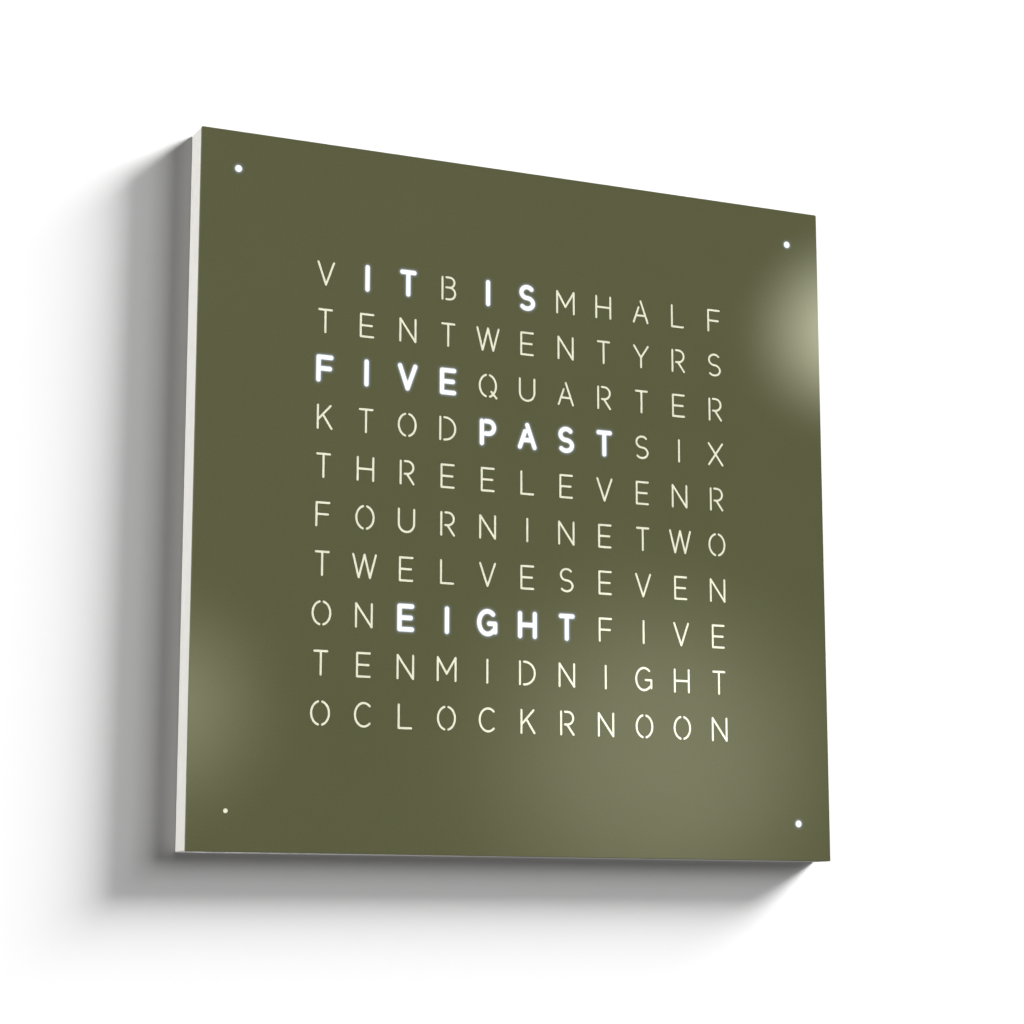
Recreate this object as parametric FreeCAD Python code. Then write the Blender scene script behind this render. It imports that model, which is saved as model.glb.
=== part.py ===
import FreeCAD, Part
import math
import os

# A square wall clock that tells the time in words. A sheet-steel cover stands on magnets in front
# of a flat housing: a lacquered frame, a diffuser plate, a grid of light wells, a board of lamps
# and a back panel that hangs on two wall screws.
# Millimetres. Origin at the middle of the back, on the wall. +X is to the right as seen from the
# front, +Y points into the wall and +Z is up.

Vector = FreeCAD.Vector

# Face and depth
face_width = 450.0
face_height = 450.0
overall_depth = 20.0

# Cover: steel sheet, its backing film and its locating studs
cover_thickness = 1.5
minute_dot_radius = 1.5
minute_dot_inset = 24.5
film_thickness = 0.3
film_inset = 4.0
film_gap = 0.2
stud_radius = 2.0
stud_length = 4.0
stud_clearance = 0.15
stud_hole_spare_depth = 1.0

# Frame
rim_width = 12.0
ledge_width = 6.0
outer_corner_radius = 0.8
rear_edge_chamfer = 0.4
plate_gap = 0.3

# Plates and boards
panel_thickness = 2.5
diffuser_thickness = 2.0
board_thickness = 1.6
led_standoff_height = 2.5
control_standoff_height = 3.0

# Channels between the lamp board and the frame, beside it and above and below it
side_channel = 42.8
end_channel = 42.9

# Letter grid: one light well per letter
columns = 11
rows = 10
well_wall_front = 1.2
well_wall_rear = 2.8
board_margin = 8.5

# Lamps
led_size = 5.0
led_height = 1.6
minute_led_size = 3.5
minute_led_height = 1.4
sensor_size = 2.0
sensor_height = 0.9
sensor_offset = 8.0
sensor_column_index = 5
sensor_row_index = 2

# Lugs that hold the light grid and the lamp board
lug_half_width = 5.2
lug_tip_half_width = 2.6
lug_tip = 3.9
lug_thickness = 2.4
lug_reach = 4.2
lug_end_inset = 15.0
lugs_per_side = 3

# Minute lights in the corners
minute_board_size = 12.0
minute_cup_size = 8.4
minute_cup_wall = 0.8
minute_lead_width = 4.0
minute_lead_thickness = 0.3
minute_lead_pad_inset = 1.1
minute_lead_landing_inset = 3.3

# Magnets in the front rim
magnet_size = 8.0
magnet_height = 3.0
magnet_recess = 0.1
magnet_clearance = 0.1
magnet_corner_distance = 75.0

# Screws: radius of shank and head, height of head, bite below the head or board. They, their
# holes and their posts are drawn with flat sides.
screw_sides = 8
post_sides = 6
post_radius = 3.0
thread_clearance = 0.05
shank_clearance = 0.25
head_clearance = 0.1
board_screw_shank = 1.45
board_screw_head = 2.8
board_screw_head_height = 1.8
board_screw_bite = 2.0
small_screw_shank = 0.95
small_screw_head = 1.9
small_screw_head_height = 1.0
small_screw_bite = 3.6
panel_screw_shank = 1.2
panel_screw_head = 2.3
panel_screw_head_height = 1.3
panel_screw_bite = 4.0
screw_hole_spare_depth = 0.8
panel_screw_corner_distance = 62.0
panel_screws_per_side = 2
diffuser_screw_corner_distance = 65.0
diffuser_screws_per_side = 2

# Wall hangers
hanger_side_inset = 75.0
hanger_plate_thickness = 1.5
hanger_window_width = 15.0
hanger_window_height = 20.0
hanger_lap = 3.0
hanger_land = 10.0
keyhole_entry_radius = 5.0
keyhole_slot_radius = 2.6
keyhole_lift = 9.0
keyhole_entry_drop = 3.5

# Power inlet
inlet_length = 36.0
inlet_height = 18.0
inlet_wall = 1.2
inlet_front_gap = 1.0
inlet_lip_width = 3.5
inlet_lip_thickness = 1.2
jack_flange_radius = 5.4
jack_flange_thickness = 1.5
jack_nose_radius = 3.95
jack_nose_length = 12.0
jack_bore_radius = 2.85
jack_bore_depth = 9.5
jack_pin_radius = 1.05
jack_pin_setback = 1.5
jack_nut_flats = 10.0
jack_nut_thickness = 2.0
jack_nut_gap = 0.5
jack_fit = 0.1
power_lead_radius = 1.6
power_lead_first_run = 40.0
power_lead_second_bend = 68.0
power_lead_third_bend = 16.0
power_lead_sway = 4.0

# Function keys in the underside
key_count = 4
key_pitch = 13.0
key_row_centre = 114.0
key_radius = 3.0
key_clearance = 0.15
key_flange_size = 9.0
key_flange_thickness = 1.5
key_travel = 0.8
key_overtravel_gap = 0.4
switch_size = 6.0
switch_height = 3.5
switch_roof = 0.5
plunger_size = 3.0
plunger_clearance = 0.15
key_board_width = 12.5
key_board_end = 4.0
key_post_distance = 10.5
key_post_floor = 1.0
key_screw_bite = 3.0
key_lead_radius = 1.0
key_lead_first_run = 10.0
key_lead_side_step = 6.0
key_lead_rise = 5.0

# Control board in the right-hand channel
control_board_length = 140.0
control_board_gap = 4.0
control_board_foot = 14.0
control_post_inset = 4.0
control_post_end_inset = 12.0
controller_size = 14.0
controller_height = 1.4
controller_offset = 4.0
radio_can_length = 18.0
radio_can_width = 16.0
radio_can_height = 2.5
radio_end_gap = 12.0
cell_gap = 10.0
cell_radius = 6.2
cell_height = 2.0
cell_holder_wall = 1.5
cell_holder_base = 1.0
power_socket_length = 8.0
power_socket_width = 9.0
power_socket_height = 6.0
key_socket_width = 7.0
socket_gap = 1.0
header_height = 3.0
header_width = 5.0
header_length = 20.0
header_board_inset = 3.2
header_share = 0.42
ribbon_width = 16.0
ribbon_thickness = 0.8

# Radio antenna above the control board
antenna_gap = 26.0
antenna_length = 70.0
antenna_width = 9.0
antenna_thickness = 5.0
antenna_height = 7.5
coil_wall = 1.2
coil_length = 22.0
clip_length = 8.0
clip_wall = 1.4
clip_lap = 1.5
clip_end_inset = 6.0
clip_clearance = 0.1
antenna_lead_radius = 0.4
antenna_lead_offset = 8.0
antenna_lead_landing = 5.0
antenna_lead_first_run = 5.0
antenna_lead_second_bend = 12.0
antenna_lead_third_bend = 14.0
antenna_lead_last_run = 5.0

# Leads: flats round them, the last straight run into a socket and the share of a run that a
# bend may take
lead_sides = 6
lead_last_run = 12.0
bend_share = 0.45

# Flats round the other small round pieces: dots, studs, the jack's nose and the coin cell
small_round_sides = 20

# How far cutting shapes reach past the surfaces that they open
over = 1.0


# Planes and outlines worked out from the sizes above
cover_front_y = -overall_depth
cover_back_y = cover_front_y + cover_thickness
diffuser_front_y = cover_back_y + film_thickness + film_gap
diffuser_back_y = diffuser_front_y + diffuser_thickness
panel_front_y = -panel_thickness
led_board_back_y = panel_front_y - led_standoff_height
led_board_front_y = led_board_back_y - board_thickness
control_board_back_y = panel_front_y - control_standoff_height
control_board_front_y = control_board_back_y - board_thickness
rebate_width = face_width - 2 * rim_width
rebate_height = face_height - 2 * rim_width
cavity_width = rebate_width - 2 * ledge_width
cavity_height = rebate_height - 2 * ledge_width
rim_line_x = face_width / 2 - rim_width / 2
rim_line_z = face_height / 2 - rim_width / 2
ledge_line_x = rebate_width / 2 - ledge_width / 2
ledge_line_z = rebate_height / 2 - ledge_width / 2
led_board_width = cavity_width - 2 * side_channel
led_board_height = cavity_height - 2 * end_channel
grid_width = led_board_width - 2 * board_margin
grid_height = led_board_height - 2 * board_margin
column_pitch = (grid_width - well_wall_front) / columns
row_pitch = (grid_height - well_wall_front) / rows
right_channel_x = (led_board_width / 2 + cavity_width / 2) / 2
top_channel_z = (led_board_height / 2 + cavity_height / 2) / 2
minute_x = face_width / 2 - minute_dot_inset
minute_z = face_height / 2 - minute_dot_inset
corners = [(sx, sz) for sx in (-1, 1) for sz in (-1, 1)]


def slab(x0, x1, y0, y1, z0, z1):
    return Part.makeBox(x1 - x0, y1 - y0, z1 - z0, Vector(x0, y0, z0))


def block(centre_x, centre_z, width, height, y0, y1):
    """A box given by its middle and its size across the face."""
    return slab(centre_x - width / 2, centre_x + width / 2, y0, y1,
                centre_z - height / 2, centre_z + height / 2)


def rounded_plate(width, height, y0, y1, radius, centre_x=0.0, centre_z=0.0):
    """A plate across the face with four rounded corners."""
    plate = block(centre_x, centre_z, width, height, y0, y1)
    upright = [e for e in plate.Edges if abs(e.tangentAt(e.FirstParameter).y) > 0.5]
    return plate.makeFillet(radius, upright)


def facet_points(radius, x, y, z, sides):
    """Corners of a many-sided outline across Y."""
    return [Vector(x + radius * math.cos(2 * math.pi * i / sides), y,
                   z + radius * math.sin(2 * math.pi * i / sides)) for i in range(sides)]


def polygon_face(points):
    return Part.Face(Part.makePolygon(points + points[:1]))


def facet_bar(radius, x, z, y0, y1, sides=screw_sides):
    """A many-sided bar along Y."""
    return polygon_face(facet_points(radius, x, y0, z, sides)).extrude(Vector(0, y1 - y0, 0))


def facet_taper(radius0, radius1, x, z, y0, y1, sides=screw_sides):
    """A many-sided bar along Y that tapers from radius0 to radius1."""
    first = facet_points(radius0, x, y0, z, sides)
    last = facet_points(radius1, x, y1, z, sides)
    faces = [polygon_face(first), polygon_face(last)]
    faces += [polygon_face([first[i - 1], first[i], last[i], last[i - 1]]) for i in range(sides)]
    shell = Part.makeShell(faces)
    shell.sewShape()
    solid = Part.Solid(shell)
    if solid.Volume < 0:
        solid.reverse()
    return solid


def facet_upright(radius, x, y, z0, z1, sides=screw_sides):
    """A many-sided bar along Z."""
    bar = facet_bar(radius, 0, 0, 0, z1 - z0, sides)
    bar.rotate(Vector(0, 0, 0), Vector(1, 0, 0), 90)
    bar.translate(Vector(x, y, z0))
    return bar


def square_bar(size, x, y, z0, z1):
    """A square bar along Z."""
    return slab(x - size / 2, x + size / 2, y - size / 2, y + size / 2, z0, z1)


def disc(radius, x, z, y0, y1):
    """A round bar along Y."""
    return Part.makeCylinder(radius, y1 - y0, Vector(x, y0, z), Vector(0, 1, 0))


def upright_bar(radius, x, y, z0, z1):
    return Part.makeCylinder(radius, z1 - z0, Vector(x, y, z0), Vector(0, 0, 1))


def join(shapes):
    return shapes[0].fuse(shapes[1:]).removeSplitter()


def countersunk_screw(x, z, surface_y, inward, shank, head, head_height, bite):
    """A flat-headed screw, flush with surface_y, that is driven towards inward along Y."""
    neck_y = surface_y + inward * head_height
    return join([facet_taper(head, shank, x, z, surface_y, neck_y),
                 facet_bar(shank, x, z, neck_y, neck_y + inward * bite)])


def countersunk_hole(x, z, surface_y, inward, shank, head, head_height, depth):
    """The hole through a plate for such a screw."""
    return countersunk_screw(x, z, surface_y, inward, shank + head_clearance,
                             head + head_clearance, head_height, depth - head_height)


def spaced(span, end_distance, count):
    """Places along a side, the first and last end_distance from its corners."""
    first = -span / 2 + end_distance
    return [first + i * (span - 2 * end_distance) / (count - 1) for i in range(count)]


def round_the_sides(span_x, span_z, line_x, line_z, end_distance, count):
    """Places on all four sides of a rectangle, as (x, z)."""
    places = [(x, s * line_z) for x in spaced(span_x, end_distance, count) for s in (-1, 1)]
    return places + [(s * line_x, z) for z in spaced(span_z, end_distance, count) for s in (-1, 1)]


panel_screw_places = round_the_sides(face_width, face_height, ledge_line_x, ledge_line_z,
                                     panel_screw_corner_distance, panel_screws_per_side)
diffuser_screw_places = [(x, s * ledge_line_z) for s in (-1, 1)
                         for x in spaced(face_width, diffuser_screw_corner_distance,
                                         diffuser_screws_per_side)]
magnet_places = round_the_sides(face_width, face_height, rim_line_x, rim_line_z,
                                magnet_corner_distance, 2)
stud_places = [(sx * rim_line_x, sz * rim_line_z) for sx, sz in corners]
minute_places = [(sx * minute_x, sz * minute_z) for sx, sz in corners]
letter_places = [((c - (columns - 1) / 2) * column_pitch, ((rows - 1) / 2 - r) * row_pitch)
                 for r in range(rows) for c in range(columns)]
lug_x = grid_width / 2 + lug_reach
lug_places = [(s * lug_x, z) for s in (-1, 1)
              for z in spaced(grid_height, lug_end_inset, lugs_per_side)]


# Keys: heights are measured up from the underside
underside_z = -face_height / 2
cavity_floor_z = -cavity_height / 2
key_y = (panel_front_y + diffuser_back_y) / 2
key_places = [key_row_centre + (i - (key_count - 1) / 2) * key_pitch for i in range(key_count)]
flange_top_z = cavity_floor_z + key_flange_thickness
switch_bottom_z = flange_top_z + key_travel + key_overtravel_gap
key_board_z = switch_bottom_z + switch_height
plunger_top_z = key_board_z - switch_roof - key_travel - plunger_clearance
key_board_length = (key_count - 1) * key_pitch + 2 * (key_post_distance + key_board_end)
key_post_places = [key_places[0] - key_post_distance, key_places[-1] + key_post_distance]


# Hangers and inlet
hanger_z = top_channel_z
entry_z = hanger_z - keyhole_entry_drop
hanger_places = [s * (face_width / 2 - hanger_side_inset) for s in (-1, 1)]
hanger_plate_back_y = panel_front_y
hanger_plate_front_y = hanger_plate_back_y - hanger_plate_thickness
hanger_screw_reach = hanger_window_width / 2 + hanger_lap + hanger_land / 2 - hanger_lap / 2
hanger_screw_places = [(x + s * hanger_screw_reach, hanger_z)
                       for x in hanger_places for s in (-1, 1)]
inlet_z = -top_channel_z
inlet_depth = -diffuser_back_y - inlet_wall - inlet_front_gap
jack_y = panel_front_y - jack_nut_flats / 2 - jack_nut_gap
jack_wall_x = inlet_length / 2
jack_rear_x = jack_wall_x + jack_nose_length


# Control board
control_width = side_channel - 2 * control_board_gap
control_foot_z = -led_board_height / 2 + control_board_foot
control_top_z = control_foot_z + control_board_length
control_x = right_channel_x
control_post_places = [(control_x + sx * (control_width / 2 - control_post_inset), z)
                       for sx in (-1, 1)
                       for z in (control_foot_z + control_post_end_inset,
                                 control_top_z - control_post_end_inset)]
power_socket_y = control_board_front_y - power_socket_height / 2
header_top_y = led_board_front_y - header_height
led_header_x = led_board_width / 2 - header_board_inset
control_header_x = control_x - control_width / 2 + header_board_inset
header_z = control_foot_z + header_share * control_board_length
radio_z = control_top_z - radio_end_gap - radio_can_length / 2
cell_z = radio_z - radio_can_length / 2 - cell_gap - cell_radius
antenna_bottom_z = control_top_z + antenna_gap
antenna_y = panel_front_y - antenna_height


def front_cover():
    """The powder-coated steel sheet with the four minute dots."""
    sheet = rounded_plate(face_width, face_height, cover_front_y, cover_back_y,
                          outer_corner_radius)
    return sheet.cut([facet_bar(minute_dot_radius, x, z, cover_front_y - over,
                                cover_back_y + over, small_round_sides)
                      for x, z in minute_places])


def backing_film():
    """The translucent film glued behind the cover."""
    return block(0, 0, rebate_width - 2 * film_inset, rebate_height - 2 * film_inset,
                 cover_back_y, cover_back_y + film_thickness)


def cover_studs():
    """Studs welded behind the cover's corners. They drop into the frame and centre the cover."""
    return [facet_bar(stud_radius, x, z, cover_back_y, cover_back_y + stud_length,
                      small_round_sides) for x, z in stud_places]


def body_frame():
    """The lacquered frame: a ring with a rebate for the diffuser and one for the back panel."""
    ring = rounded_plate(face_width, face_height, cover_back_y, 0, outer_corner_radius)
    rear = [e for e in ring.Edges if abs(e.BoundBox.YMin) < 1e-6]
    ring = ring.makeChamfer(rear_edge_chamfer, rear)
    tools = [
        block(0, 0, cavity_width, cavity_height, cover_back_y - over, over),
        block(0, 0, rebate_width, rebate_height, cover_back_y - over, diffuser_back_y),
        block(0, 0, rebate_width, rebate_height, panel_front_y, 1),
    ]
    pocket = magnet_size + 2 * magnet_clearance
    tools += [block(x, z, pocket, pocket, cover_back_y - over,
                    cover_back_y + magnet_height + magnet_recess) for x, z in magnet_places]
    tools += [facet_bar(stud_radius + stud_clearance, x, z, cover_back_y - over,
                        cover_back_y + stud_length + stud_hole_spare_depth, small_round_sides)
              for x, z in stud_places]
    front_depth = diffuser_front_y + small_screw_head_height + small_screw_bite
    tools += [facet_bar(small_screw_shank + thread_clearance, x, z, diffuser_back_y - over,
                        front_depth + screw_hole_spare_depth) for x, z in diffuser_screw_places]
    rear_depth = -panel_screw_head_height - panel_screw_bite
    tools += [facet_bar(panel_screw_shank + thread_clearance, x, z,
                        rear_depth - screw_hole_spare_depth, panel_front_y + over)
              for x, z in panel_screw_places]
    tools += [upright_bar(key_radius + key_clearance, x, key_y, underside_z - over,
                          cavity_floor_z + over) for x in key_places]
    return ring.cut(tools)


def cover_magnets():
    return [block(x, z, magnet_size, magnet_size, cover_back_y + magnet_recess,
                  cover_back_y + magnet_recess + magnet_height) for x, z in magnet_places]


def diffuser_plate():
    """The opal plate that hides the wells. It lies on the frame's front ledge."""
    plate = block(0, 0, rebate_width - 2 * plate_gap, rebate_height - 2 * plate_gap,
                  diffuser_front_y, diffuser_back_y)
    return plate.cut([countersunk_hole(x, z, diffuser_front_y, 1, small_screw_shank,
                                       small_screw_head, small_screw_head_height,
                                       diffuser_thickness + over)
                      for x, z in diffuser_screw_places])


def diffuser_screws():
    return [countersunk_screw(x, z, diffuser_front_y, 1, small_screw_shank, small_screw_head,
                              small_screw_head_height, small_screw_bite)
            for x, z in diffuser_screw_places]


def well_tool():
    """One light well about the origin: a square shaft that tapers towards its lamp."""
    front_x = (column_pitch - well_wall_front) / 2
    front_z = (row_pitch - well_wall_front) / 2
    rear_x = (column_pitch - well_wall_rear) / 2
    rear_z = (row_pitch - well_wall_rear) / 2
    return Part.makeWedge(-front_x, diffuser_back_y, -front_z, -rear_z, -rear_x,
                          front_x, led_board_front_y, front_z, rear_z, rear_x)


def lug(x, z):
    """An ear on the grid's side wall about its screw, with its outer corners cut off."""
    out = math.copysign(1, x)
    front_y = led_board_front_y - lug_thickness
    outline = [(-lug_reach, -lug_half_width), (0, -lug_half_width),
               (lug_tip, -lug_tip_half_width), (lug_tip, lug_tip_half_width),
               (0, lug_half_width), (-lug_reach, lug_half_width)]
    points = [Vector(x + out * u, front_y, z + v) for u, v in outline]
    return polygon_face(points).extrude(Vector(0, lug_thickness, 0))


def light_grid():
    """The egg-crate of light wells, one per letter, with its screw lugs."""
    crate = join([block(0, 0, grid_width, grid_height, diffuser_back_y, led_board_front_y)]
                 + [lug(x, z) for x, z in lug_places])
    well = well_tool()
    tools = []
    for x, z in letter_places:
        tool = well.copy()
        tool.translate(Vector(x, 0, z))
        tools.append(tool)
    tools += [facet_bar(board_screw_shank + shank_clearance, x, z,
                        led_board_front_y - lug_thickness - over, led_board_front_y + over)
              for x, z in lug_places]
    return crate.cut(tools)


def led_board():
    """The lamp board, as large as the grid with a margin for its screws and sockets."""
    board = block(0, 0, led_board_width, led_board_height, led_board_front_y, led_board_back_y)
    return board.cut([facet_bar(board_screw_shank + shank_clearance, x, z,
                                led_board_front_y - over, led_board_back_y + over)
                      for x, z in lug_places])


def word_leds():
    return [block(x, z, led_size, led_size, led_board_front_y - led_height, led_board_front_y)
            for x, z in letter_places]


def light_sensor():
    x, z = letter_places[sensor_row_index * columns + sensor_column_index]
    return block(x + sensor_offset, z, sensor_size, sensor_size,
                 led_board_front_y - sensor_height, led_board_front_y)


def post(x, z, board_back_y):
    """A hexagonal threaded post on the back panel, under a board's screw."""
    bore = facet_bar(board_screw_shank + thread_clearance, x, z, board_back_y - over,
                     panel_front_y)
    return facet_bar(post_radius, x, z, board_back_y, panel_front_y, post_sides).cut(bore)


def led_standoffs():
    return [post(x, z, led_board_back_y) for x, z in lug_places]


def board_screw(x, z, seat_y, grip):
    """A cheese-headed screw under whose head lies grip of material, driven towards the wall."""
    return join([facet_bar(board_screw_head, x, z, seat_y - board_screw_head_height, seat_y),
                 facet_bar(board_screw_shank, x, z, seat_y, seat_y + grip + board_screw_bite)])


def grid_screws():
    seat_y = led_board_front_y - lug_thickness
    return [board_screw(x, z, seat_y, lug_thickness + board_thickness) for x, z in lug_places]


def minute_boards():
    return [block(x, z, minute_board_size, minute_board_size, led_board_front_y,
                  led_board_back_y) for x, z in minute_places]


def minute_posts():
    return [facet_bar(post_radius, x, z, led_board_back_y, panel_front_y, post_sides)
            for x, z in minute_places]


def minute_leds():
    return [block(x, z, minute_led_size, minute_led_size, led_board_front_y - minute_led_height,
                  led_board_front_y) for x, z in minute_places]


def minute_cups():
    """Square light tubes from the corner boards to the diffuser."""
    inner = minute_cup_size - 2 * minute_cup_wall
    return [block(x, z, minute_cup_size, minute_cup_size, diffuser_back_y, led_board_front_y).cut(
            block(x, z, inner, inner, diffuser_back_y - over, led_board_front_y + over))
            for x, z in minute_places]


def minute_leads():
    """Flat leads that lie across the gap from each corner board to the lamp board's corner."""
    from_x = minute_x - minute_board_size / 2 + minute_lead_pad_inset
    from_z = minute_z - minute_board_size / 2 + minute_lead_pad_inset
    to_x = led_board_width / 2 - minute_lead_landing_inset
    to_z = led_board_height / 2 - minute_lead_landing_inset
    strips = []
    for sx, sz in corners:
        start = Vector(sx * from_x, led_board_front_y - minute_lead_thickness, sz * from_z)
        end = Vector(sx * to_x, led_board_front_y - minute_lead_thickness, sz * to_z)
        across = (end - start).cross(Vector(0, 1, 0)).normalize() * (minute_lead_width / 2)
        outline = [start + across, end + across, end - across, start - across]
        strips.append(polygon_face(outline).extrude(Vector(0, minute_lead_thickness, 0)))
    return strips


def lead(points, radius, name):
    """A lead through the points, in straight runs joined by tangent arcs."""
    edges = []
    radii = []
    start = points[0]
    for before, corner, after in zip(points, points[1:], points[2:]):
        arriving = (corner - before).normalize()
        leaving = (after - corner).normalize()
        trim = bend_share * min((corner - before).Length, (after - corner).Length)
        half_turn = arriving.getAngle(leaving) / 2
        bend = trim / math.tan(half_turn)
        enter = corner - arriving * trim
        leave = corner + leaving * trim
        towards_centre = (leaving - arriving).normalize()
        middle = corner + towards_centre * (bend / math.cos(half_turn) - bend)
        edges.append(Part.LineSegment(start, enter).toShape())
        edges.append(Part.Arc(enter, middle, leave).toShape())
        radii.append(round(bend, 1))
        start = leave
    edges.append(Part.LineSegment(start, points[-1]).toShape())
    path = Part.Wire(edges)
    corners_here = facet_points(radius, 0, 0, 0, lead_sides)
    section = Part.makePolygon(corners_here + corners_here[:1])
    turn = FreeCAD.Rotation(Vector(0, 1, 0), points[1] - points[0])
    section.Placement = FreeCAD.Placement(points[0], turn)
    tube = path.makePipeShell([section], True, False)
    share = tube.Volume / (Part.Face(section).Area * path.Length)
    print(name, "length", round(path.Length, 1), "bends", radii, "volume share", round(share, 4))
    return tube


def back_panel():
    """The back plate in the frame's rear rebate, with windows for the hangers and the inlet."""
    plate = block(0, 0, rebate_width - 2 * plate_gap, rebate_height - 2 * plate_gap,
                  panel_front_y, 0)
    tools = [countersunk_hole(x, z, 0, -1, panel_screw_shank, panel_screw_head,
                              panel_screw_head_height, panel_thickness + over)
             for x, z in panel_screw_places + hanger_screw_places]
    tools += [block(x, hanger_z, hanger_window_width, hanger_window_height,
                    panel_front_y - over, over)
              for x in hanger_places]
    tools.append(block(0, inlet_z, inlet_length, inlet_height, panel_front_y - over, over))
    return plate.cut(tools)


def panel_screws():
    return [countersunk_screw(x, z, 0, -1, panel_screw_shank, panel_screw_head,
                              panel_screw_head_height, panel_screw_bite)
            for x, z in panel_screw_places]


def hanger_plate(x):
    """A steel plate behind the panel's window, with a keyhole for a wall screw."""
    width = hanger_window_width + 2 * (hanger_lap + hanger_land)
    height = hanger_window_height + 2 * hanger_lap
    y0 = hanger_plate_front_y
    y1 = hanger_plate_back_y
    plate = block(x, hanger_z, width, height, y0, y1)
    slot_end_z = entry_z + keyhole_lift
    tools = [disc(keyhole_entry_radius, x, entry_z, y0 - over, y1 + over),
             slab(x - keyhole_slot_radius, x + keyhole_slot_radius, y0 - over, y1 + over,
                  entry_z, slot_end_z),
             disc(keyhole_slot_radius, x, slot_end_z, y0 - over, y1 + over)]
    tools += [facet_bar(panel_screw_shank + thread_clearance, x + s * hanger_screw_reach,
                        hanger_z, y0 - over, y1 + over) for s in (-1, 1)]
    return plate.cut(tools)


def hanger_screws():
    bite = panel_thickness + hanger_plate_thickness - panel_screw_head_height
    return [countersunk_screw(x, z, 0, -1, panel_screw_shank, panel_screw_head,
                              panel_screw_head_height, bite) for x, z in hanger_screw_places]


def inlet_tray():
    """The moulded pocket for the power plug, bonded behind the panel's window by two lips."""
    outer_length = inlet_length + 2 * inlet_wall
    outer_height = inlet_height + 2 * inlet_wall
    shell = block(0, inlet_z, outer_length, outer_height, -inlet_depth - inlet_wall, panel_front_y)
    lips = block(0, inlet_z, outer_length, outer_height + 2 * inlet_lip_width,
                 panel_front_y - inlet_lip_thickness, panel_front_y)
    pocket = block(0, inlet_z, inlet_length, inlet_height, -inlet_depth, over)
    seat = facet_along_x(jack_nose_radius + jack_fit, jack_wall_x - inlet_wall / 2,
                         jack_wall_x + 3 * inlet_wall / 2)
    return join([shell, lips]).cut([pocket, seat])


def facet_along_x(radius, x0, x1):
    """A many-sided bar along X on the jack's axis."""
    bar = facet_bar(radius, 0, 0, 0, x1 - x0, small_round_sides)
    bar.rotate(Vector(0, 0, 0), Vector(0, 0, 1), -90)
    bar.translate(Vector(x0, jack_y, inlet_z))
    return bar


def along_x(radius, x0, x1):
    return Part.makeCylinder(radius, x1 - x0, Vector(x0, jack_y, inlet_z), Vector(1, 0, 0))


def power_jack():
    """The barrel socket: a flange in the pocket and a nose through its end wall."""
    mouth_x = jack_wall_x - jack_flange_thickness
    shell = join([along_x(jack_flange_radius, mouth_x, jack_wall_x),
                  facet_along_x(jack_nose_radius, jack_wall_x, jack_rear_x)])
    return shell.cut(along_x(jack_bore_radius, mouth_x, mouth_x + jack_bore_depth))


def jack_pin():
    mouth_x = jack_wall_x - jack_flange_thickness
    return along_x(jack_pin_radius, mouth_x + jack_pin_setback, mouth_x + jack_bore_depth)


def jack_nut():
    """The hexagon nut behind the pocket's end wall, two of its flats facing the wall."""
    corner_radius = jack_nut_flats / math.sqrt(3)
    x = jack_wall_x + inlet_wall
    points = [Vector(x, jack_y + corner_radius * math.cos(math.radians(60 * i + 30)),
                     inlet_z + corner_radius * math.sin(math.radians(60 * i + 30)))
              for i in range(6)]
    hexagon = polygon_face(points).extrude(Vector(jack_nut_thickness, 0, 0))
    return hexagon.cut(facet_along_x(jack_nose_radius + jack_fit, x - over,
                                     x + jack_nut_thickness + over))


def power_lead():
    """The supply lead along the bottom channel and up to the control board."""
    socket_bottom_z = control_foot_z - power_socket_length / 2
    route = [(jack_rear_x, jack_y, inlet_z),
             (jack_rear_x + power_lead_first_run, jack_y, inlet_z),
             (control_x - power_lead_second_bend, jack_y, inlet_z + power_lead_sway),
             (control_x - power_lead_third_bend, power_socket_y, inlet_z),
             (control_x, power_socket_y, socket_bottom_z - lead_last_run),
             (control_x, power_socket_y, socket_bottom_z)]
    return lead([Vector(*p) for p in route], power_lead_radius, "power lead")


def key_cap(x):
    """A push key: a stem through the frame's bottom rail and a flange that keeps it in."""
    stem = upright_bar(key_radius, x, key_y, underside_z, cavity_floor_z)
    return join([stem, square_bar(key_flange_size, x, key_y, cavity_floor_z, flange_top_z)])


def key_plunger(x):
    return square_bar(plunger_size, x, key_y, flange_top_z, plunger_top_z)


def key_switches():
    """The switch bodies under the key board, each bored for its plunger."""
    bore = plunger_size + 2 * plunger_clearance
    return [square_bar(switch_size, x, key_y, switch_bottom_z, key_board_z).cut(
            square_bar(bore, x, key_y, switch_bottom_z - over, key_board_z - switch_roof))
            for x in key_places]


def key_board():
    centre = key_row_centre
    board = slab(centre - key_board_length / 2, centre + key_board_length / 2,
                 key_y - key_board_width / 2, key_y + key_board_width / 2,
                 key_board_z, key_board_z + board_thickness)
    return board.cut([facet_upright(small_screw_shank + shank_clearance, x, key_y,
                                    key_board_z - over, key_board_z + board_thickness + over)
                      for x in key_post_places])


def key_posts():
    """Threaded spacers that carry the key board off the frame."""
    bore = small_screw_shank + thread_clearance
    return [facet_upright(post_radius, x, key_y, cavity_floor_z, key_board_z, post_sides).cut(
            facet_upright(bore, x, key_y, cavity_floor_z + key_post_floor, key_board_z + over))
            for x in key_post_places]


def key_board_screws():
    top = key_board_z + board_thickness
    return [join([facet_upright(small_screw_head, x, key_y, top, top + small_screw_head_height),
                  facet_upright(small_screw_shank, x, key_y, key_board_z - key_screw_bite, top)])
            for x in key_post_places]


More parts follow.
